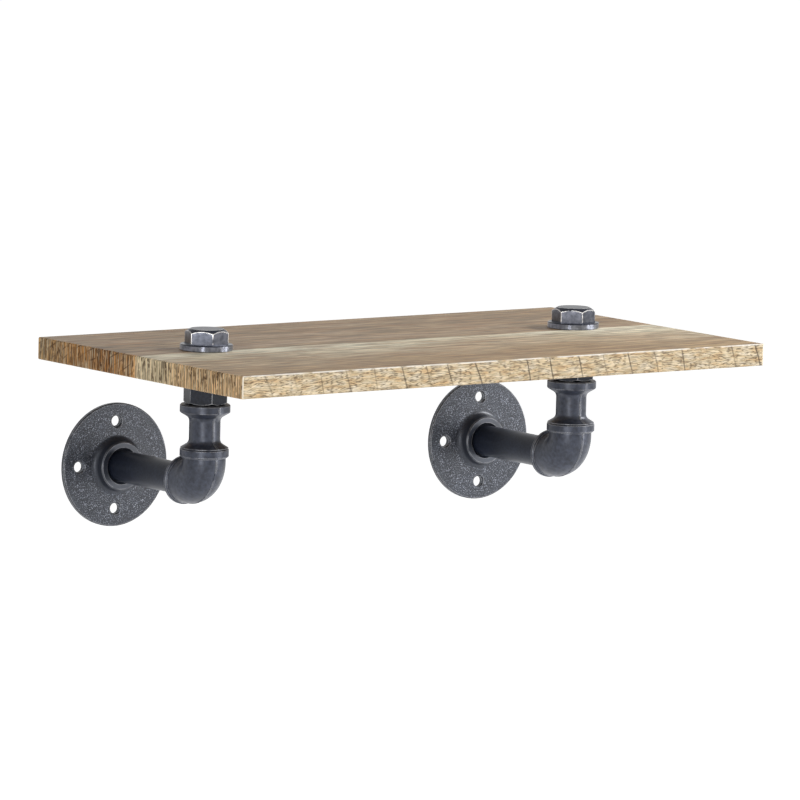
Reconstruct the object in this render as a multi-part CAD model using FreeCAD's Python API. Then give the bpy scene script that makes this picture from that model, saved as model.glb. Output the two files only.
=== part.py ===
"""Wall shelf: a laminated board carried on two brackets made of half-inch pipe fittings.

Frame: millimetres, +Z up, +X along the board, +Y into the wall. The origin lies on the wall
plane, midway between the two wall flanges, at the height of the pipe axes.

Each bracket stands in the plane through its bolt: wall flange, pipe nipple, elbow, riser and
hex adapter, and on top of the board a washer and a hexagon cap bolt. Every piece of a bracket
is built about its own axis first, and is then set in place by the layout values.
"""

import FreeCAD
import Part

import math
import os

from FreeCAD import Placement, Rotation, Vector

# Board: a core with a laminate sheet on each face and an edge band on each side.
BOARD_LENGTH = 430.0
BOARD_DEPTH = 240.0
BOARD_THICKNESS = 15.0
LAMINATE_THICKNESS = 0.8
BAND_THICKNESS = 1.3
BAND_EDGE_RADIUS = 1.0
BOARD_HOLE_CLEARANCE = 0.75

# Place of the two bolts: in from the ends of the board, and out from the wall.
BOLT_INSET = 62.5
BOLT_SETBACK = 108.0

# Pipe: nominal half inch, with taper threads of 1 in 16 on the diameter.
PIPE_DIAMETER = 21.3
PIPE_WALL = 2.7
THREAD_TAPER = 1.0 / 32.0
THREAD_LENGTH = 13.5
THREAD_CLEARANCE = 0.06
SOCKET_END_GAP = 0.5

# Wall flange.
FLANGE_DIAMETER = 84.0
FLANGE_RIM_THICKNESS = 3.0
FLANGE_RIM_BEVEL = 0.8
FLANGE_CROWN = 1.2
HUB_FOOT_DIAMETER = 35.0
HUB_DIAMETER = 33.0
HUB_HEIGHT = 11.5
HUB_FILLET = 4.2
HUB_LIP_BEVEL = 0.7
HUB_MOUTH_CHAMFER = 1.9
SCREW_HOLES = 4
SCREW_HOLE_DIAMETER = 7.2
SCREW_SINK_DIAMETER = 9.2
NIPPLE_END_GAP = 1.0

# Elbow: banded at the back, where the pipe enters, and at the top, where the riser stands.
ELBOW_REACH = 24.1
ELBOW_THROAT_RADIUS = 0.4
ELBOW_BACK_DIAMETER = 30.8
ELBOW_TOP_DIAMETER = 28.4
ELBOW_BAND_DIAMETER = 32.8
ELBOW_BAND_BEVEL = 0.9
ELBOW_BACK_BAND_WIDTH = 3.6
ELBOW_TOP_BAND_WIDTH = 6.2
ELBOW_SOCKET_DEPTH = 11.0
ELBOW_WATERWAY = 17.0

# Riser: male end down into the elbow, necked, with a banded female end up.
RISER_HEIGHT = 29.3
RISER_SHOULDER_DIAMETER = 32.0
RISER_SHOULDER_LIP = 0.4
RISER_FLARE_RISE = 3.4
RISER_NECK_DIAMETER = 20.9
RISER_NECK_FILLET = 4.0
RISER_BAND_DIAMETER = 33.7
RISER_BAND_WIDTH = 5.8
RISER_BAND_BEVEL = 0.7
RISER_SOCKET_DEPTH = 7.0
RISER_WATERWAY = 14.0

# Mould seam left on the elbow and the riser, in the plane of the bracket.
SEAM_HEIGHT = 0.3
SEAM_WIDTH = 1.1

# Hexagons of the adapter and of the bolt's head. The flat disc on the end of a hexagon is smaller
# than its flats by an inset, and from there a cone is turned down to the corners.
HEX_ACROSS_FLATS = 25.8
ADAPTER_HEIGHT = 21.2
ADAPTER_DISC_INSET = 0.7
ADAPTER_CORNER_DROP = 1.5
HEAD_HEIGHT = 10.2
HEAD_DISC_INSET = 1.7
HEAD_CORNER_DROP = 2.6

# Bolt shank and washer.
BOLT_DIAMETER = 16.0
BOLT_ENGAGEMENT = 16.0
BOLT_END_CHAMFER = 1.5
WASHER_DIAMETER = 35.3
WASHER_THICKNESS = 4.0
WASHER_EDGE_BEVEL = 0.45
WASHER_HOLE_CLEARANCE = 0.5

# Angle at which each hexagon came to rest when it was tightened, in degrees: left, right.
ADAPTER_TURNS = (13.0, 9.0)
HEAD_TURNS = (12.5, 18.0)

ADAPTER_BOTTOM = ELBOW_REACH + RISER_HEIGHT
BOARD_BOTTOM = ADAPTER_BOTTOM + ADAPTER_HEIGHT
BOARD_TOP = BOARD_BOTTOM + BOARD_THICKNESS
SCREW_CIRCLE = (FLANGE_DIAMETER + HUB_FOOT_DIAMETER) / 2
ELBOW_BEND_RADIUS = ELBOW_BACK_DIAMETER / 2 + ELBOW_THROAT_RADIUS
HEX_CORNER_RADIUS = HEX_ACROSS_FLATS / math.sqrt(3)
PIPE_RADIUS = PIPE_DIAMETER / 2
ORIGIN = Vector(0, 0, 0)
X_AXIS = Vector(1, 0, 0)
Z_AXIS = Vector(0, 0, 1)


def outline(corners):
    """Closed wire in the XZ plane. Each corner is (x, z) or (x, z, radius of its rounding).

    A rounding is limited to the room on the two sides of its corner.
    """
    points = [Vector(corner[0], 0, corner[1]) for corner in corners]
    radii = [corner[2] if len(corner) > 2 else 0.0 for corner in corners]
    edges = []
    last_end = None
    first_start = None
    for i, here in enumerate(points):
        start = end = here
        if radii[i] > 0:
            before = points[i - 1] - here
            after = points[(i + 1) % len(points)] - here
            room = 0.49 * min(before.Length, after.Length)
            half_angle = before.getAngle(after) / 2
            run = min(radii[i] / math.tan(half_angle), room)
            radius = run * math.tan(half_angle)
            start = here + before.normalize() * run
            end = here + after.normalize() * run
            inward = (before + after).normalize()
            middle = here + inward * (radius / math.sin(half_angle) - radius)
        if last_end is None:
            first_start = start
        else:
            edges.append(Part.LineSegment(last_end, start).toShape())
        if radii[i] > 0:
            edges.append(Part.Arc(start, middle, end).toShape())
        last_end = end
    edges.append(Part.LineSegment(last_end, first_start).toShape())
    return Part.Wire(edges)


def revolved(corners):
    """Solid turned about Z from the outline of its section."""
    return Part.Face(outline(corners)).revolve(ORIGIN, Z_AXIS, 360)


def bevelled_side(radius, bottom, top, bevel):
    """Points of an outline up the outer side of a ring that has both edges bevelled."""
    return [(radius - bevel, bottom), (radius, bottom + bevel), (radius, top - bevel), (radius - bevel, top)]


def male_radius(from_end):
    """Radius of a tapered male thread, at a distance from its end."""
    return PIPE_RADIUS - THREAD_TAPER * max(0.0, THREAD_LENGTH - from_end)


def female_radius(from_end):
    """Radius of the socket round a male thread, at a distance from the end of the male."""
    return male_radius(from_end) + THREAD_CLEARANCE


def tapered_socket(depth):
    """Cutter for a socket down from Z = 0. The male in it stops SOCKET_END_GAP above its floor."""
    mouth = female_radius(depth - SOCKET_END_GAP)
    floor = female_radius(-SOCKET_END_GAP)
    return Part.makeCone(floor, mouth, depth, Vector(0, 0, -depth))


def seam_slab(span):
    """Thin slab in the plane of the bracket, which keeps only the seam of a slightly larger body."""
    return Part.makeBox(SEAM_WIDTH, 2 * span, 2 * span, Vector(-SEAM_WIDTH / 2, -span, -span))


def wall_flange():
    """Round cast flange with a hub, wall face on Z = 0, hub along +Z."""
    rim = FLANGE_DIAMETER / 2
    foot = HUB_FOOT_DIAMETER / 2
    hub = HUB_DIAMETER / 2
    plate_top = FLANGE_RIM_THICKNESS + FLANGE_CROWN
    mouth = female_radius(HUB_HEIGHT - NIPPLE_END_GAP)
    back = female_radius(-NIPPLE_END_GAP)
    body = revolved(
        [
            (back, 0),
            (rim, 0),
            (rim, FLANGE_RIM_THICKNESS - FLANGE_RIM_BEVEL),
            (rim - FLANGE_RIM_BEVEL, FLANGE_RIM_THICKNESS),
            (foot, plate_top, HUB_FILLET),
            (hub, HUB_HEIGHT - HUB_LIP_BEVEL),
            (hub - HUB_LIP_BEVEL, HUB_HEIGHT),
            (mouth + HUB_MOUTH_CHAMFER, HUB_HEIGHT),
            (mouth, HUB_HEIGHT - HUB_MOUTH_CHAMFER),
        ]
    )
    for k in range(SCREW_HOLES):
        hole = screw_hole()
        hole.rotate(ORIGIN, Z_AXIS, 90 + k * 360 / SCREW_HOLES)
        body = body.cut(hole)
    return body


def screw_hole():
    """Cutter for the screw hole on the +X side, opened out at the front face of the flange."""
    crown_edge = FLANGE_DIAMETER / 2 - FLANGE_RIM_BEVEL
    slope = FLANGE_CROWN / (crown_edge - HUB_FOOT_DIAMETER / 2)
    face = FLANGE_RIM_THICKNESS + slope * (crown_edge - SCREW_CIRCLE / 2)
    hole = SCREW_HOLE_DIAMETER / 2
    flare = SCREW_SINK_DIAMETER / 2 - hole
    place = Vector(SCREW_CIRCLE / 2, 0, 0)
    drill = Part.makeCylinder(hole, HUB_HEIGHT, place)
    opened = Part.makeCone(hole, hole + HUB_HEIGHT, HUB_HEIGHT, place + Z_AXIS * (face - flare))
    return drill.fuse(opened)


def pipe_nipple(length):
    """Pipe with a taper thread on each end, along +Z from Z = 0."""
    tip = male_radius(0)
    bore = PIPE_RADIUS - PIPE_WALL
    return revolved(
        [
            (bore, 0),
            (tip, 0),
            (PIPE_RADIUS, THREAD_LENGTH),
            (PIPE_RADIUS, length - THREAD_LENGTH),
            (tip, length),
            (bore, length),
        ]
    )


def bend(back_radius, top_radius):
    """Round bar bent from along +Y to along +Z, tapering from its back mouth to its top mouth."""
    back = Vector(0, ELBOW_REACH, 0)
    bend_start = Vector(0, ELBOW_BEND_RADIUS, 0)
    bend_end = Vector(0, 0, ELBOW_BEND_RADIUS)
    offset = ELBOW_BEND_RADIUS * (1 - math.sqrt(0.5))
    middle = Vector(0, offset, offset)
    top = Vector(0, 0, ELBOW_REACH)
    path = Part.Wire(
        [
            Part.LineSegment(back, bend_start).toShape(),
            Part.Arc(bend_start, middle, bend_end).toShape(),
            Part.LineSegment(bend_end, top).toShape(),
        ]
    )
    back_ring = Part.Wire(Part.makeCircle(back_radius, back, Vector(0, 1, 0)))
    top_ring = Part.Wire(Part.makeCircle(top_radius, top, Z_AXIS))
    return path.makePipeShell([back_ring, top_ring], True, False)


def on_top(shape):
    """A piece built at a mouth on Z = 0, moved to the top mouth of the elbow."""
    shape.translate(Vector(0, 0, ELBOW_REACH))
    return shape


def on_back(shape):
    """A piece built at a mouth on Z = 0, turned and moved to the back mouth of the elbow."""
    shape.rotate(ORIGIN, X_AXIS, -90)
    shape.translate(Vector(0, ELBOW_REACH, 0))
    return shape


def elbow_band(width):
    """Ring round a mouth of the elbow, with bevelled edges, down from Z = 0."""
    inner = ELBOW_TOP_DIAMETER / 3
    side = bevelled_side(ELBOW_BAND_DIAMETER / 2, -width, 0, ELBOW_BAND_BEVEL)
    return revolved([(inner, -width), *side, (inner, 0)])


def elbow():
    """Quarter elbow about the corner of its axes, mouths along +Y and +Z."""
    back = ELBOW_BACK_DIAMETER / 2
    top = ELBOW_TOP_DIAMETER / 2
    seam = bend(back + SEAM_HEIGHT, top + SEAM_HEIGHT).common(seam_slab(2 * ELBOW_REACH))
    bands = [on_top(elbow_band(ELBOW_TOP_BAND_WIDTH)), on_back(elbow_band(ELBOW_BACK_BAND_WIDTH))]
    body = bend(back, top).fuse([seam, *bands])
    waterway = bend(ELBOW_WATERWAY / 2, ELBOW_WATERWAY / 2)
    sockets = [on_top(tapered_socket(ELBOW_SOCKET_DEPTH)), on_back(tapered_socket(ELBOW_SOCKET_DEPTH))]
    return body.cut([waterway, *sockets]).removeSplitter()


def riser_body(growth):
    """Outside of the riser from its shoulder up, larger all round by that growth."""
    shoulder = RISER_SHOULDER_DIAMETER / 2 + growth
    neck = RISER_NECK_DIAMETER / 2 + growth
    band = RISER_BAND_DIAMETER / 2 + growth
    band_foot = RISER_HEIGHT - RISER_BAND_WIDTH
    return revolved(
        [
            (0, 0),
            (shoulder, 0),
            (shoulder, RISER_SHOULDER_LIP),
            (neck, RISER_SHOULDER_LIP + RISER_FLARE_RISE, RISER_NECK_FILLET),
            (neck, band_foot - RISER_FLARE_RISE, RISER_NECK_FILLET),
            *bevelled_side(band, band_foot, RISER_HEIGHT, RISER_BAND_BEVEL),
            (0, RISER_HEIGHT),
        ]
    )


def riser():
    """Necked extension piece: shoulder on Z = 0, male end below, banded socket on top."""
    male = ELBOW_SOCKET_DEPTH - SOCKET_END_GAP
    spigot = Part.makeCone(male_radius(0), male_radius(male), male, Vector(0, 0, -male))
    seam = riser_body(SEAM_HEIGHT).common(seam_slab(RISER_HEIGHT))
    waterway = Part.makeCylinder(RISER_WATERWAY / 2, RISER_HEIGHT + male, Vector(0, 0, -male))
    socket = tapered_socket(RISER_SOCKET_DEPTH)
    socket.translate(Vector(0, 0, RISER_HEIGHT))
    return riser_body(0).fuse([seam, spigot]).cut([waterway, socket]).removeSplitter()


def hexagon(height, turn):
    """Hexagonal bar on Z = 0, a flat turned by that many degrees from facing -Y."""
    corners = []
    for k in range(6):
        angle = math.radians(60 * k + turn)
        corners.append(Vector(math.cos(angle), math.sin(angle), 0) * HEX_CORNER_RADIUS)
    return Part.Face(Part.makePolygon([*corners, corners[0]])).extrude(Z_AXIS * height)


def hex_adapter(turn):
    """Hexagon standing on Z = 0, crowned at both ends, with a male taper thread below it and a
    bore right through that takes the bolt."""
    disc = HEX_ACROSS_FLATS / 2 - ADAPTER_DISC_INSET
    crowned = revolved(
        [
            (0, 0),
            (disc, 0),
            (HEX_CORNER_RADIUS, ADAPTER_CORNER_DROP),
            (HEX_CORNER_RADIUS, ADAPTER_HEIGHT - ADAPTER_CORNER_DROP),
            (disc, ADAPTER_HEIGHT),
            (0, ADAPTER_HEIGHT),
        ]
    )
    body = hexagon(ADAPTER_HEIGHT, turn).common(crowned)
    male = RISER_SOCKET_DEPTH - SOCKET_END_GAP
    spigot = Part.makeCone(male_radius(0), male_radius(male), male, Vector(0, 0, -male))
    bore_radius = BOLT_DIAMETER / 2 + THREAD_CLEARANCE
    bore = Part.makeCylinder(bore_radius, ADAPTER_HEIGHT + male, Vector(0, 0, -male))
    return body.fuse(spigot).cut(bore).removeSplitter()


def washer():
    """Thick round washer on Z = 0."""
    rim = WASHER_DIAMETER / 2
    hole = BOLT_DIAMETER / 2 + WASHER_HOLE_CLEARANCE
    side = bevelled_side(rim, 0, WASHER_THICKNESS, WASHER_EDGE_BEVEL)
    return revolved([(hole, 0), *side, (hole, WASHER_THICKNESS)])


def cap_bolt(turn):
    """Hexagon bolt, head standing on Z = 0 and shank down."""
    crowned = revolved(
        [
            (0, 0),
            (HEX_CORNER_RADIUS, 0),
            (HEX_CORNER_RADIUS, HEAD_HEIGHT - HEAD_CORNER_DROP),
            (HEX_ACROSS_FLATS / 2 - HEAD_DISC_INSET, HEAD_HEIGHT),
            (0, HEAD_HEIGHT),
        ]
    )
    head = hexagon(HEAD_HEIGHT, turn).common(crowned)
    radius = BOLT_DIAMETER / 2
    length = WASHER_THICKNESS + BOARD_THICKNESS + BOLT_ENGAGEMENT
    shank = revolved(
        [
            (0, 0),
            (radius, 0),
            (radius, -length + BOLT_END_CHAMFER),
            (radius - BOLT_END_CHAMFER, -length),
            (0, -length),
        ]
    )
    return head.fuse(shank).removeSplitter()


def bolt_places():
    """Where the two bolt axes stand, left and right."""
    reach = BOARD_LENGTH / 2 - BOLT_INSET
    return [Vector(-reach, -BOLT_SETBACK, 0), Vector(reach, -BOLT_SETBACK, 0)]


def board_layer(bottom, thickness):
    """Layer of the board between its edge bands, with the two bolt holes through it."""
    length = BOARD_LENGTH - 2 * BAND_THICKNESS
    depth = BOARD_DEPTH - 2 * BAND_THICKNESS
    layer = Part.makeBox(length, depth, thickness, Vector(-length / 2, -BAND_THICKNESS - depth, bottom))
    hole = BOLT_DIAMETER / 2 + BOARD_HOLE_CLEARANCE
    for place in bolt_places():
        layer = layer.cut(Part.makeCylinder(hole, thickness, place + Z_AXIS * bottom))
    return layer


def edge_band(x, y, length, depth):
    """Band that fills a rectangle of the board, as a slice of the whole board with its edges rounded off."""
    corner = Vector(-BOARD_LENGTH / 2, -BOARD_DEPTH, BOARD_BOTTOM)
    board = Part.makeBox(BOARD_LENGTH, BOARD_DEPTH, BOARD_THICKNESS, corner)
    rounded = board.makeFillet(min(BAND_EDGE_RADIUS, 0.9 * BAND_THICKNESS), board.Edges)
    return rounded.common(Part.makeBox(length, depth, BOARD_THICKNESS, Vector(x, y, BOARD_BOTTOM)))


def board_pieces():
    """Core, two laminate sheets and four edge bands. The short bands cover the ends of the long ones."""
    core_thickness = BOARD_THICKNESS - 2 * LAMINATE_THICKNESS
    left = -BOARD_LENGTH / 2
    right = BOARD_LENGTH / 2 - BAND_THICKNESS
    front = -BOARD_DEPTH
    between = left + BAND_THICKNESS
    return {
        "shelf_core": board_layer(BOARD_BOTTOM + LAMINATE_THICKNESS, core_thickness),
        "top_laminate": board_layer(BOARD_TOP - LAMINATE_THICKNESS, LAMINATE_THICKNESS),
        "bottom_laminate": board_layer(BOARD_BOTTOM, LAMINATE_THICKNESS),
        "front_edge_band": edge_band(between, front, right - between, BAND_THICKNESS),
        "rear_edge_band": edge_band(between, -BAND_THICKNESS, right - between, BAND_THICKNESS),
        "left_edge_band": edge_band(left, front, BAND_THICKNESS, BOARD_DEPTH),
        "right_edge_band": edge_band(right, front, BAND_THICKNESS, BOARD_DEPTH),
    }


def laid_level(shape, x, y):
    """A piece built along +Z, laid so that it runs out from the wall along -Y, its foot at y."""
    shape.Placement = Placement(Vector(x, y, 0), Rotation(X_AXIS, 90))
    return shape


def stood_at(shape, place, z):
    """A piece built along +Z, stood on the bolt axis with its zero at that height."""
    shape.Placement = Placement(place + Z_AXIS * z, Rotation())
    return shape


def bracket_pieces(side, place, adapter_turn, head_turn):
    """One bracket, piece by piece, from the wall to the head of the bolt."""
    nipple_end = BOLT_SETBACK - ELBOW_REACH + ELBOW_SOCKET_DEPTH - SOCKET_END_GAP
    return {
        side + "_wall_flange": laid_level(wall_flange(), place.x, 0),
        side + "_pipe_nipple": laid_level(pipe_nipple(nipple_end - NIPPLE_END_GAP), place.x, -NIPPLE_END_GAP),
        side + "_elbow": stood_at(elbow(), place, 0),
        side + "_riser": stood_at(riser(), place, ELBOW_REACH),
        side + "_hex_adapter": stood_at(hex_adapter(adapter_turn), place, ADAPTER_BOTTOM),
        side + "_washer": stood_at(washer(), place, BOARD_TOP),
        side + "_cap_bolt": stood_at(cap_bolt(head_turn), place, BOARD_TOP + WASHER_THICKNESS),
    }


def main():
    os.makedirs("parts", exist_ok=True)
    pieces = board_pieces()
    for i, place in enumerate(bolt_places()):
        side = ("left", "right")[i]
        pieces.update(bracket_pieces(side, place, ADAPTER_TURNS[i], HEAD_TURNS[i]))
    for name, shape in pieces.items():
        if not shape.isValid() or len(shape.Solids) != 1:
            raise ValueError(f"{name} isn't one valid solid")
        shape.exportStep(f"parts/{name}.step")
        size = shape.BoundBox
        print(f"{name:18s} {size.XLength:6.1f} {size.YLength:6.1f} {size.ZLength:6.1f} mm")


main()
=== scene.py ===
import math

import bmesh
import bpy
from mathutils import Matrix, Vector


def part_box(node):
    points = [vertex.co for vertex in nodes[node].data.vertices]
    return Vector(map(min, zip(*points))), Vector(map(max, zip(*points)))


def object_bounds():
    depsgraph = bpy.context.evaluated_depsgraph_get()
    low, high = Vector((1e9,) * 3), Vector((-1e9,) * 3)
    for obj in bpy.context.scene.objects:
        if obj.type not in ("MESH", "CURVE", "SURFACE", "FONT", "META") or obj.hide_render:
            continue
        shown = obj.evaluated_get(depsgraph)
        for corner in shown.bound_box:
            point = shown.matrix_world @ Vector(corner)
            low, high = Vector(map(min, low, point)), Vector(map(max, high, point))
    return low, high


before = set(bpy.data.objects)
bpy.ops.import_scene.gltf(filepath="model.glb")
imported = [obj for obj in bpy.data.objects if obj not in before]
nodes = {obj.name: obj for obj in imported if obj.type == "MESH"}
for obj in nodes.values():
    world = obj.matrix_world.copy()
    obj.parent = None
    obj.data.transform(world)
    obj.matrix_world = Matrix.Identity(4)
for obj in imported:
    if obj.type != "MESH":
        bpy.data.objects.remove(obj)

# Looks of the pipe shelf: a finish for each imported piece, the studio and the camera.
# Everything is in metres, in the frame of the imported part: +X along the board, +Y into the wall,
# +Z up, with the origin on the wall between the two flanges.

MM = 0.001
cad_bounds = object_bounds()

BOARD_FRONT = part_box("front_edge_band")[0].y
BOARD_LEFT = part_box("left_edge_band")[0].x
BOARD_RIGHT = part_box("right_edge_band")[1].x
BOARD_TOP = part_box("top_laminate")[1].z
FLANGE_AXIS = sum(corner.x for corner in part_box("right_wall_flange")) / 2
WASHER_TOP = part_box("left_washer")[1].z

# The smooth hub of a flange ends at the first radius, and its gritty plate begins at the second.
HUB_RADIUS = 17 * MM
PLATE_RADIUS = 22 * MM

# The printed decor shows two planks side by side, which meet at this share of the depth.
PLANK_JOINT = 0.49

# Saw cuts and splits of the printed edges: the width of a cut, and the depth of both.
SAW_CUT = 0.9 * MM
EDGE_RELIEF = 0.15 * MM

# The print of the long edges rises and falls by up to the first swing at the board's left end,
# and by up to the second one beyond this length from it.
END_SWING = 16 * MM
LEVEL_SWING = 2 * MM
SWING_LENGTH = 120 * MM

# The upper rim of the long edges is white, as chipped print and a painted highlight, down to the
# first depth below the board's top, and plain from the second.
WHITE_RIM_DEPTH = 0.4 * MM
PLAIN_RIM_DEPTH = 0.9 * MM

# The bolt heads' edges are left plain up to the first height above the washers, and made bright
# from the second, partly as rubbed wear and partly as a painted highlight.
DULL_HEIGHT = 0.6 * MM
BRIGHT_HEIGHT = 1.4 * MM

# A noise pattern runs from 0 to 1, and most of it lies between these two levels. Folded at the
# step below, it comes to 0 along thin contours where it crosses its middle level.
NOISE_LOW = 0.38
NOISE_HIGH = 0.62
MIDDLE_FOLD = 0.25

# Level of the grit pattern on a surface that is cast smooth.
SMOOTH_GRIT = 0.53

# Colours of the charcoal-finished irons, from the pits of their grit to its crests. The pale top
# stop of the sand-cast iron is a painted glint on its crests.
CAST_WITH_GLINTS = [(0.36, "#11141b"), (0.5, "#1f232c"), (0.6, "#3f444f"), (0.68, "#9599a4")]
TUMBLED = [(0.3, "#272b36"), (0.7, "#3d4250")]
TURNED = [(0.3, "#0f1219"), (0.7, "#1a1e28")]
DRAWN = [(0.3, "#171c28"), (0.7, "#222836")]

# Camera: it orbits the target. Angles in degrees.
CAMERA_AZIMUTH = 36.03
CAMERA_ELEVATION = 7.08
CAMERA_ROLL = 1.33
CAMERA_DISTANCE = 5.24
CAMERA_TARGET = Vector((0.013, -0.1, BOARD_TOP - 0.0435))
CAMERA_FOCAL_PIXELS = 7742
IMAGE_PIXELS = 800
SENSOR_WIDTH = 36.0

# Studio. The world gives light at a plain level, and the floor glows by the lift, which is seen
# but lights nothing. A softbox stands at an angle round from the front towards +X and at a height
# above level, both in degrees, with its width and height in metres and its power in watts.
FLOOR_DROP = 0.5
FLOOR_SIZE = 40.0
WORLD_LEVEL = 0.34
FLOOR_LIFT = 0.72
SOFTBOX_DISTANCE = 2.6
SOFTBOXES = {
    "key_softbox": {"round": 67.0, "height": 30.0, "size": (0.6, 0.6), "power": 64.0},
    "right_softbox": {"round": 39.0, "height": -1.0, "size": (0.75, 0.8), "power": 17.5},
    "left_softbox": {"round": -51.0, "height": -1.0, "size": (0.55, 0.7), "power": 16.0},
}


def srgb(code):
    """Linear colour of an sRGB hex code."""
    channels = [int(code[i:i + 2], 16) / 255 for i in (1, 3, 5)]
    linear = [c / 12.92 if c <= 0.04045 else ((c + 0.055) / 1.055) ** 2.4 for c in channels]
    return (*linear, 1.0)


def add(tree, kind, *values, inputs=None, stops=None, output=None, **settings):
    """Adds a node: values or sockets for its inputs, in order or by name, and its colour stops."""
    node = tree.nodes.new("ShaderNode" + kind)
    for name, setting in settings.items():
        setattr(node, name, setting)
    for key, value in [*enumerate(values), *(inputs or {}).items()]:
        if isinstance(value, bpy.types.NodeSocket):
            tree.links.new(value, node.inputs[key])
        else:
            node.inputs[key].default_value = value
    if stops:
        ramp = node.color_ramp.elements
        while len(ramp) < len(stops):
            ramp.new(1.0)
        for element, (position, code) in zip(ramp, stops):
            element.position = position
            element.color = srgb(code)
    if output:
        return node.outputs[output]
    return next(socket for socket in node.outputs if socket.enabled)


def start_material(name, roughness, gloss=0.5, metallic=0.0):
    """A new material: itself, its node tree, its shader, and the place in the frame in metres."""
    material = bpy.data.materials.new(name)
    material.use_nodes = True
    tree = material.node_tree
    shader = tree.nodes["Principled BSDF"]
    shader.inputs["Roughness"].default_value = roughness
    shader.inputs["Specular IOR Level"].default_value = gloss
    shader.inputs["Metallic"].default_value = metallic
    return material, tree, shader, add(tree, "TexCoord", output="Object")


def grain(tree, place, x, y, z, detail=3.0, distortion=0.0):
    """A pattern from 0 to 1 whose grains measure x, y and z millimetres."""
    cells = add(tree, "VectorMath", place, (1000 / x, 1000 / y, 1000 / z), operation="MULTIPLY")
    inputs = {"Vector": cells, "Scale": 1.0, "Detail": detail, "Distortion": distortion}
    return add(tree, "TexNoise", inputs=inputs)


def thin_lines(tree, pattern, fold, width):
    """Thin lines where a pattern is a multiple of twice the fold: 1 on a line and 0 off it."""
    folded = add(tree, "Math", pattern, fold, operation="PINGPONG")
    return add(tree, "MapRange", folded, 0.0, width, 1.0, 0.0)


def split_lines(tree, pattern, width, gaps, low, high):
    """Short thin splits: the contours of a pattern, broken up by another one.

    They are missing where the gaps pattern is below low, and whole where it is above high.
    """
    contours = thin_lines(tree, pattern, MIDDLE_FOLD, width)
    kept = add(tree, "MapRange", gaps, low, high)
    return add(tree, "Math", contours, kept, operation="MULTIPLY")


def saw_cuts(tree, place, across, spacing, waver, swing, depth):
    """Saw cuts spaced out in the direction across them, wavering by up to the swing.

    The waver pattern bends them, and the depth pattern says how deep they are, from 0 to 1.
    """
    distance = add(tree, "VectorMath", place, across, operation="DOT_PRODUCT", output="Value")
    wobble = add(tree, "MapRange", waver, 0.3, 0.7, -swing, swing)
    cuts = thin_lines(tree, add(tree, "Math", distance, wobble), spacing / 2, SAW_CUT)
    return add(tree, "Math", cuts, depth, operation="MULTIPLY")


def board_share(tree, place):
    """The place across the board, from 0 at the wall to 1 at its front edge."""
    depth = add(tree, "SeparateXYZ", place, output="Y")
    return add(tree, "MapRange", depth, 0.0, BOARD_FRONT)


def painted_light_along(tree, place, colour, left, right):
    """Painted light and shade along the board: a colour made darker or lighter by a level at its
    left and right end.
    """
    length = add(tree, "SeparateXYZ", place, output="X")
    level = add(tree, "MapRange", length, BOARD_LEFT, BOARD_RIGHT, left, right)
    return add(tree, "MixRGB", 1.0, colour, level, blend_type="MULTIPLY")


def shaded(tree, colour, pattern, low, high):
    """A colour made darker and lighter by a pattern, between two levels."""
    level = add(tree, "MapRange", pattern, NOISE_LOW, NOISE_HIGH, low, high)
    return add(tree, "MixRGB", 1.0, colour, level, blend_type="MULTIPLY")


def stained(tree, colour, mask, amount, code):
    """A colour stained with another one where the mask is 1."""
    share = add(tree, "Math", mask, amount, operation="MULTIPLY")
    return add(tree, "MixRGB", share, colour, srgb(code))


def worn_and_glinting_edges(tree, place, radius, patch):
    """1 on the sharp edges of a piece, in patches of that size: partly handling wear, partly a
    painted highlight.
    """
    rounded = add(tree, "Bevel", radius, samples=8)
    flat = add(tree, "NewGeometry", output="Normal")
    # 1 on a flat, and less the more the rounded normal leans away from it near an edge.
    alike = add(tree, "VectorMath", rounded, flat, operation="DOT_PRODUCT")
    edge = add(tree, "MapRange", alike, 0.995, 0.96, 0.0, 1.0)
    patches = add(tree, "MapRange", grain(tree, place, patch, patch, patch), 0.34, 0.5)
    return add(tree, "Math", edge, patches, operation="MULTIPLY")


def surface(tree, shader, colour, height, depth):
    """Gives a material its colour, and relief from a height pattern with its depth in metres."""
    tree.links.new(colour, shader.inputs["Base Color"])
    bump = add(tree, "Bump", inputs={"Height": height, "Distance": depth, "Strength": 1.0})
    tree.links.new(bump, shader.inputs["Normal"])


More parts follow.
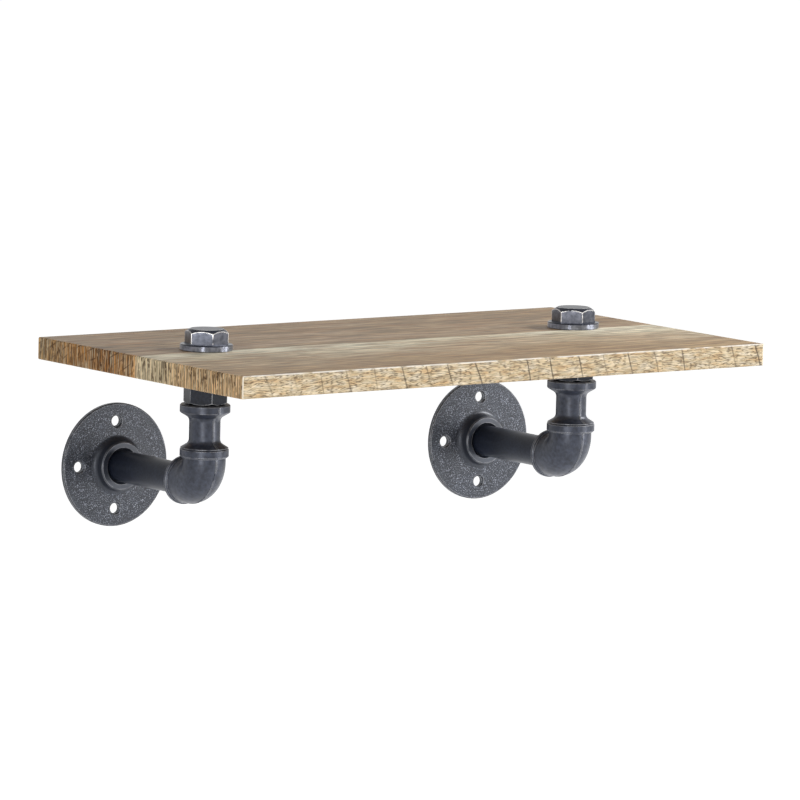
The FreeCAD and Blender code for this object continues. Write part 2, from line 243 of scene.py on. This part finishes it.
def printed_oak_face():
    """Melamine paper printed as two oak planks, pressed satin: streaks, flecks, fibres, pores."""
    material, tree, shader, place = start_material("printed_oak_melamine", 0.55, gloss=0.3)
    share = board_share(tree, place)
    # The front plank turns from pale at the joint to brown at the front edge, unevenly.
    waves = grain(tree, place, 170, 60, 60, detail=2.0)
    wander = add(tree, "MapRange", waves, 0.3, 0.7, -0.12, 0.12)
    wandered = add(tree, "Math", share, wander)
    stops = [
        (0.49, "#c7c0aa"),
        (0.6, "#b5aa91"),
        (0.72, "#9a866a"),
        (0.86, "#8d7554"),
        (1.0, "#8c7453"),
    ]
    front_plank = add(tree, "ValToRGB", wandered, stops=stops)
    # The rear plank is weathered to long bands of grey-brown.
    bands = grain(tree, place, 150, 24, 24, detail=4.0, distortion=0.4)
    stops = [(0.3, "#6f5c45"), (0.5, "#816d53"), (0.7, "#948069")]
    rear_plank = add(tree, "ValToRGB", bands, stops=stops)
    in_front = add(tree, "MapRange", share, PLANK_JOINT - 0.001, PLANK_JOINT + 0.001)
    colour = add(tree, "MixRGB", in_front, rear_plank, front_plank)
    # Painted light: the top is made lighter towards its right end.
    colour = painted_light_along(tree, place, colour, 0.97, 1.3)
    # Both planks have brown streaks, and finer marks within them.
    streaks = grain(tree, place, 45, 4, 4, detail=4.0, distortion=0.6)
    streaks = add(tree, "MapRange", streaks, 0.5, 0.6)
    colour = stained(tree, colour, streaks, 0.55, "#7c5731")
    # Real flecks and fibres are thinner than the render can show, so they are drawn this thick.
    flecks = grain(tree, place, 32, 3.2, 3.2, detail=5.0, distortion=0.6)
    fibres = grain(tree, place, 20, 1.4, 1.4, detail=3.0)
    colour = shaded(tree, colour, flecks, 0.62, 1.4)
    colour = shaded(tree, colour, fibres, 0.86, 1.16)
    pores = add(tree, "MapRange", grain(tree, place, 9, 0.6, 0.6, detail=1.0), 0.6, 0.72)
    colour = stained(tree, colour, pores, 0.4, "#4d3b29")
    height = add(tree, "Math", fibres, pores, operation="SUBTRACT")
    surface(tree, shader, colour, height, 0.05 * MM)
    return material


def long_oak_edge():
    """Banding of the long edges, printed as pale sawn oak: splits along it, saw cuts across."""
    material, tree, shader, place = start_material("printed_sawn_oak_long_edge", 0.6, gloss=0.25)
    stops = [(0.34, "#c7a980"), (0.5, "#d3bf9c"), (0.66, "#dfd0b6")]
    ground = add(tree, "ValToRGB", grain(tree, place, 12, 12, 3, detail=3.0), stops=stops)
    # The print rises and falls along the edge, most at the left end.
    length = add(tree, "SeparateXYZ", place, output="X")
    swing_end = BOARD_LEFT + SWING_LENGTH
    swing = add(tree, "MapRange", length, BOARD_LEFT, swing_end, END_SWING, LEVEL_SWING)
    waves = grain(tree, place, 34, 34, 34, detail=1.0)
    rise = add(tree, "Math", waves, swing, operation="MULTIPLY")
    lifted = add(tree, "CombineXYZ", inputs={"Z": rise})
    flow = add(tree, "VectorMath", place, lifted)
    # Real fibres and splits are thinner than the render can show, so they are drawn this thick.
    fibres = grain(tree, flow, 7, 7, 1.0, detail=1.0)
    ground = shaded(tree, ground, fibres, 1.16, 0.82)
    # Painted shade: the edge is made darker towards its right end.
    ground = painted_light_along(tree, place, ground, 0.95, 0.87)
    grown = grain(tree, flow, 8, 8, 1.2, detail=0.5, distortion=0.2)
    gaps = grain(tree, flow, 4, 4, 1.2, detail=1.0)
    splits = split_lines(tree, grown, width=0.09, gaps=gaps, low=0.4, high=0.48)
    # The saw cuts slant, are of uneven depth and fade towards the left end.
    waver = grain(tree, place, 60, 60, 120, detail=2.0)
    deep = grain(tree, place, 13, 13, 60, detail=1.0)
    deep = add(tree, "MapRange", deep, 0.36, 0.55, 0.15, 1.0)
    across = (1.0, 0.0, 0.3)
    cuts = saw_cuts(tree, place, across, 21 * MM, waver=waver, swing=5 * MM, depth=deep)
    rightward = add(tree, "MapRange", length, BOARD_LEFT, 0.0, 0.6, 1.0)
    cuts = add(tree, "Math", cuts, rightward, operation="MULTIPLY")
    engraved = add(tree, "Math", splits, cuts, operation="MAXIMUM")
    colour = stained(tree, ground, splits, 0.8, "#4b3923")
    colour = stained(tree, colour, cuts, 0.9, "#392c20")
    # The upper rim is white in patches: partly chipped print, partly a painted highlight of its
    # rounded edge.
    height = add(tree, "SeparateXYZ", place, output="Z")
    chipped_and_highlit = add(tree, "MapRange", height, BOARD_TOP - PLAIN_RIM_DEPTH, BOARD_TOP - WHITE_RIM_DEPTH)
    patchy = add(tree, "MapRange", grain(tree, place, 12, 12, 12, detail=2.0), 0.35, 0.5)
    chipped_and_highlit = add(tree, "Math", chipped_and_highlit, patchy, operation="MULTIPLY")
    colour = stained(tree, colour, chipped_and_highlit, 0.8, "#f4efe6")
    sunk = add(tree, "Math", 0.0, engraved, operation="SUBTRACT")
    surface(tree, shader, colour, sunk, EDGE_RELIEF)
    return material


def short_oak_edge():
    """Banding of the short edges, printed as oak end grain: upright splits, and pale ends that are
    partly raw and partly a painted highlight.
    """
    material, tree, shader, place = start_material("printed_sawn_oak_short_edge", 0.6, gloss=0.15)
    share = board_share(tree, place)
    # Each plank has its own ground: brown at the rear, and pale to beige at the front.
    stops = [
        (0.0, "#ab8c62"),
        (0.18, "#986e40"),
        (0.36, "#906336"),
        (PLANK_JOINT - 0.005, "#ba8f5e"),
        (PLANK_JOINT + 0.005, "#cab896"),
        (0.61, "#c0ae8c"),
        (0.7, "#c3a277"),
        (1.0, "#c3a075"),
    ]
    ground = add(tree, "ValToRGB", share, stops=stops)
    # Real strokes and splits are thinner than the render can show, so they are drawn this thick.
    strokes = grain(tree, place, 1.0, 1.0, 24, detail=1.0)
    ground = shaded(tree, ground, strokes, 1.8, 0.42)
    pale = add(tree, "MapRange", grain(tree, place, 0.9, 0.9, 16, detail=0.0), 0.54, 0.62)
    ground = stained(tree, ground, pale, 0.65, "#d6c5a6")
    grown = grain(tree, place, 2.0, 2.0, 24, detail=0.0)
    gaps = grain(tree, place, 2.5, 2.5, 3.5, detail=1.0)
    splits = split_lines(tree, grown, width=0.12, gaps=gaps, low=0.4, high=0.5)
    # The saw cuts slant along the edge, and are faint on the front plank.
    waver = grain(tree, place, 30, 30, 15, detail=2.0)
    deep = add(tree, "MapRange", grain(tree, place, 12, 12, 12, detail=1.0), 0.4, 0.62, 0.0, 1.0)
    across = (0.0, 0.5, 1.0)
    cuts = saw_cuts(tree, place, across, 7 * MM, waver=waver, swing=2 * MM, depth=deep)
    rear = add(tree, "MapRange", share, PLANK_JOINT - 0.06, PLANK_JOINT, 1.0, 0.2)
    cuts = add(tree, "Math", cuts, rear, operation="MULTIPLY")
    engraved = add(tree, "Math", splits, cuts, operation="MAXIMUM")
    colour = stained(tree, ground, engraved, 0.9, "#412a14")
    # The band's own cut ends, which face front and rear, are pale: partly raw, and partly a
    # painted highlight of the board's eased corners.
    facing = add(tree, "SeparateXYZ", add(tree, "NewGeometry", output="Normal"), output="Y")
    raw_and_highlit = add(tree, "MapRange", add(tree, "Math", facing, operation="ABSOLUTE"), 0.7, 0.8)
    colour = stained(tree, colour, raw_and_highlit, 0.9, "#efe6d4")
    sunk = add(tree, "Math", 0.0, engraved, operation="SUBTRACT")
    surface(tree, shader, colour, sunk, EDGE_RELIEF)
    return material


def fibreboard():
    """Bare medium-density fibreboard: matt, brown and very fine."""
    material, tree, shader, place = start_material("bare_fibreboard", 0.9)
    fuzz = grain(tree, place, 1.5, 1.5, 0.6)
    colour = add(tree, "ValToRGB", fuzz, stops=[(0.3, "#8a6c4c"), (0.7, "#a58762")])
    tree.links.new(colour, shader.inputs["Base Color"])
    return material


def on_plate(tree, place):
    """1 on the flat plate of either wall flange, fading to 0 on its smooth hub."""
    mirrored = add(tree, "VectorMath", place, operation="ABSOLUTE")
    away = add(tree, "VectorMath", mirrored, (FLANGE_AXIS, 0.0, 0.0), operation="SUBTRACT")
    flat = add(tree, "VectorMath", away, (1.0, 0.0, 1.0), operation="MULTIPLY")
    radius = add(tree, "VectorMath", flat, operation="LENGTH", output="Value")
    return add(tree, "MapRange", radius, HUB_RADIUS, PLATE_RADIUS)


def blackened_iron(name, stops, grit, depth, gloss, edge_wear_and_glint, smooth_hub=False):
    """Iron with a thin charcoal finish, its grit of a size in millimetres and a depth in metres.

    The edge wear and glint is how far its edges are made pale: partly rubbed to the bare metal,
    partly a painted highlight.
    """
    material, tree, shader, place = start_material(name, 0.38, gloss, metallic=0.3)
    sand = grain(tree, place, grit, grit, grit, detail=2.0)
    if smooth_hub:
        sand = add(tree, "MapRange", on_plate(tree, place), 0.0, 1.0, SMOOTH_GRIT, sand)
    clouds = grain(tree, place, 16, 16, 16, detail=3.0)
    colour = add(tree, "ValToRGB", sand, stops=stops)
    colour = shaded(tree, colour, clouds, 0.88, 1.12)
    # Pale edges: partly rubbed bare metal, partly a painted highlight.
    edges = worn_and_glinting_edges(tree, place, radius=0.8 * MM, patch=5)
    colour = stained(tree, colour, edges, edge_wear_and_glint, "#c3c4c8")
    surface(tree, shader, colour, sand, depth)
    return material


def gunmetal_steel(name, code, roughness, turned=0.0):
    """Gunmetal-plated steel: painted shade on top, plain steel at the sides, and bright head edges
    of rubbed wear and painted highlight.

    Turned steel stretches its highlights across the lathe's marks, by a share from 0 to 1.
    """
    material, tree, shader, place = start_material(name, roughness, gloss=0.1, metallic=1.0)
    shader.inputs["Anisotropic"].default_value = turned
    shader.inputs["Anisotropic Rotation"].default_value = 0.25
    around = add(tree, "Tangent", direction_type="RADIAL", axis="Z")
    tree.links.new(around, shader.inputs["Tangent"])
    clouds = grain(tree, place, 3, 3, 3, detail=5.0)
    # Painted shade: the faces that look up are stained dark, and they are also less metallic.
    facing = add(tree, "SeparateXYZ", add(tree, "NewGeometry", output="Normal"), output="Z")
    painted_shade_on_top = add(tree, "MapRange", facing, 0.25, 0.5)
    colour = shaded(tree, srgb(code), clouds, 0.75, 1.25)
    colour = stained(tree, colour, painted_shade_on_top, 1.0, "#2a2d38")
    # Bright head edges above the washers: partly rubbed wear, partly a painted highlight.
    height = add(tree, "SeparateXYZ", place, output="Z")
    lowest, full = WASHER_TOP + DULL_HEIGHT, WASHER_TOP + BRIGHT_HEIGHT
    above_washer = add(tree, "MapRange", height, lowest, full)
    edges = worn_and_glinting_edges(tree, place, radius=1.0 * MM, patch=6)
    rubbed_and_glinting = add(tree, "Math", edges, above_washer, operation="MULTIPLY")
    colour = stained(tree, colour, rubbed_and_glinting, 1.0, "#f6f4f2")
    bare = add(tree, "MapRange", painted_shade_on_top, 0.0, 1.0, 1.0, 0.1)
    tree.links.new(bare, shader.inputs["Metallic"])
    surface(tree, shader, colour, grain(tree, place, 1.4, 1.4, 1.4, detail=3.0), 0.012 * MM)
    return material


def dress(names, material):
    """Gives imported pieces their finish."""
    for name in names:
        slots = nodes[name].data.materials
        slots.clear()
        slots.append(material)


def both(*names):
    """The left and the right piece of each name."""
    return [f"{side}_{name}" for name in names for side in ("left", "right")]


def softbox(name, lamp):
    """A softbox that faces the shelf."""
    light = bpy.data.lights.new(name, "AREA")
    light.shape = "RECTANGLE"
    light.size, light.size_y = lamp["size"]
    light.energy = lamp["power"]
    body = bpy.data.objects.new(name, light)
    bpy.context.scene.collection.objects.link(body)
    around, up = math.radians(lamp["round"]), math.radians(lamp["height"])
    level = math.cos(up)
    away = Vector((math.sin(around) * level, -math.cos(around) * level, math.sin(up)))
    body.location = CAMERA_TARGET + away * SOFTBOX_DISTANCE
    body.rotation_euler = away.to_track_quat("Z", "Y").to_euler()


def seen_directly(tree):
    """1 for what the camera sees, straight or in gloss or glass, and 0 for light on the object."""
    seen = 0.0
    for ray in ("Is Camera Ray", "Is Glossy Ray", "Is Transmission Ray"):
        seen = add(tree, "Math", add(tree, "LightPath", output=ray), seen, operation="MAXIMUM")
    return seen


def studio_world():
    """Even white studio: a plain level of light, and clean white where it is seen."""
    world = bpy.data.worlds.new("studio")
    world.use_nodes = True
    bpy.context.scene.world = world
    tree = world.node_tree
    background = tree.nodes["Background"]
    background.inputs["Color"].default_value = srgb("#ffffff")
    strength = add(tree, "MapRange", seen_directly(tree), 0.0, 1.0, WORLD_LEVEL, 1.0)
    tree.links.new(strength, background.inputs["Strength"])


def studio_floor():
    """Pale seamless floor below the shelf: white where nothing shades it."""
    shape = bmesh.new()
    bmesh.ops.create_grid(shape, x_segments=8, y_segments=8, size=FLOOR_SIZE / 2)
    mesh = bpy.data.meshes.new("floor")
    shape.to_mesh(mesh)
    shape.free()
    floor = bpy.data.objects.new("floor", mesh)
    floor.location.z = cad_bounds[0][2] - FLOOR_DROP
    bpy.context.scene.collection.objects.link(floor)
    material, tree, shader, place = start_material("pale_studio_floor", 0.9, gloss=0.0)
    mottle = grain(tree, place, 400, 400, 400)
    colour = add(tree, "ValToRGB", mottle, stops=[(0.3, "#f3f3f3"), (0.7, "#f5f5f5")])
    tree.links.new(colour, shader.inputs["Base Color"])
    shader.inputs["Emission Color"].default_value = srgb("#ffffff")
    lift = add(tree, "Math", seen_directly(tree), FLOOR_LIFT, operation="MULTIPLY")
    tree.links.new(lift, shader.inputs["Emission Strength"])
    mesh.materials.append(material)


def camera():
    """Camera on its orbit, rolled about its own axis."""
    azimuth, elevation = math.radians(CAMERA_AZIMUTH), math.radians(CAMERA_ELEVATION)
    level = Vector((math.sin(azimuth), math.cos(azimuth), 0.0))
    view = level * math.cos(elevation) - Vector((0.0, 0.0, math.sin(elevation)))
    right = Vector((math.cos(azimuth), -math.sin(azimuth), 0.0))
    upright = Matrix((right, right.cross(view), -view)).transposed()
    roll = Matrix.Rotation(math.radians(CAMERA_ROLL), 3, "Z")
    data = bpy.data.cameras.new("camera")
    data.sensor_width = SENSOR_WIDTH
    data.lens = CAMERA_FOCAL_PIXELS * SENSOR_WIDTH / IMAGE_PIXELS
    data.clip_start = 0.05
    data.clip_end = 100.0
    eye = bpy.data.objects.new("camera", data)
    bpy.context.scene.collection.objects.link(eye)
    place = Matrix.Translation(CAMERA_TARGET - view * CAMERA_DISTANCE)
    eye.matrix_world = place @ (upright @ roll).to_4x4()
    bpy.context.scene.camera = eye


# Sand leaves a rough plate round a smooth hub, and its crests carry painted glints.
sand_cast = blackened_iron(
    "sand_cast_iron_black", CAST_WITH_GLINTS, grit=0.62, depth=0.2 * MM, gloss=0.5, edge_wear_and_glint=0.4, smooth_hub=True
)
# Tumbling leaves a smoother casting with a soft slate mottle.
malleable = blackened_iron(
    "malleable_iron_black", TUMBLED, grit=2.6, depth=0.05 * MM, gloss=0.5, edge_wear_and_glint=0.4
)
# Turning leaves a finer skin, dark and dull.
turned_iron = blackened_iron(
    "turned_iron_black", TURNED, grit=1.3, depth=0.08 * MM, gloss=0.2, edge_wear_and_glint=0.5
)
# Drawing leaves the pipe the smoothest of them, dark and satin.
drawn_pipe = blackened_iron(
    "black_steel_pipe", DRAWN, grit=1.5, depth=0.02 * MM, gloss=0.3, edge_wear_and_glint=0.2
)
dress(["shelf_core"], fibreboard())
dress(["top_laminate", "bottom_laminate"], printed_oak_face())
dress(["front_edge_band", "rear_edge_band"], long_oak_edge())
dress(both("edge_band"), short_oak_edge())
dress(both("wall_flange"), sand_cast)
dress(both("elbow", "riser"), malleable)
dress(both("hex_adapter"), turned_iron)
dress(both("pipe_nipple"), drawn_pipe)
dress(both("washer"), gunmetal_steel("turned_gunmetal_steel", "#888b96", 0.3, turned=1.0))
dress(both("cap_bolt"), gunmetal_steel("satin_gunmetal_steel", "#5e616b", 0.28))

studio_world()
studio_floor()
for name, lamp in SOFTBOXES.items():
    softbox(name, lamp)
camera()

bpy.context.scene.view_settings.view_transform = "Standard"
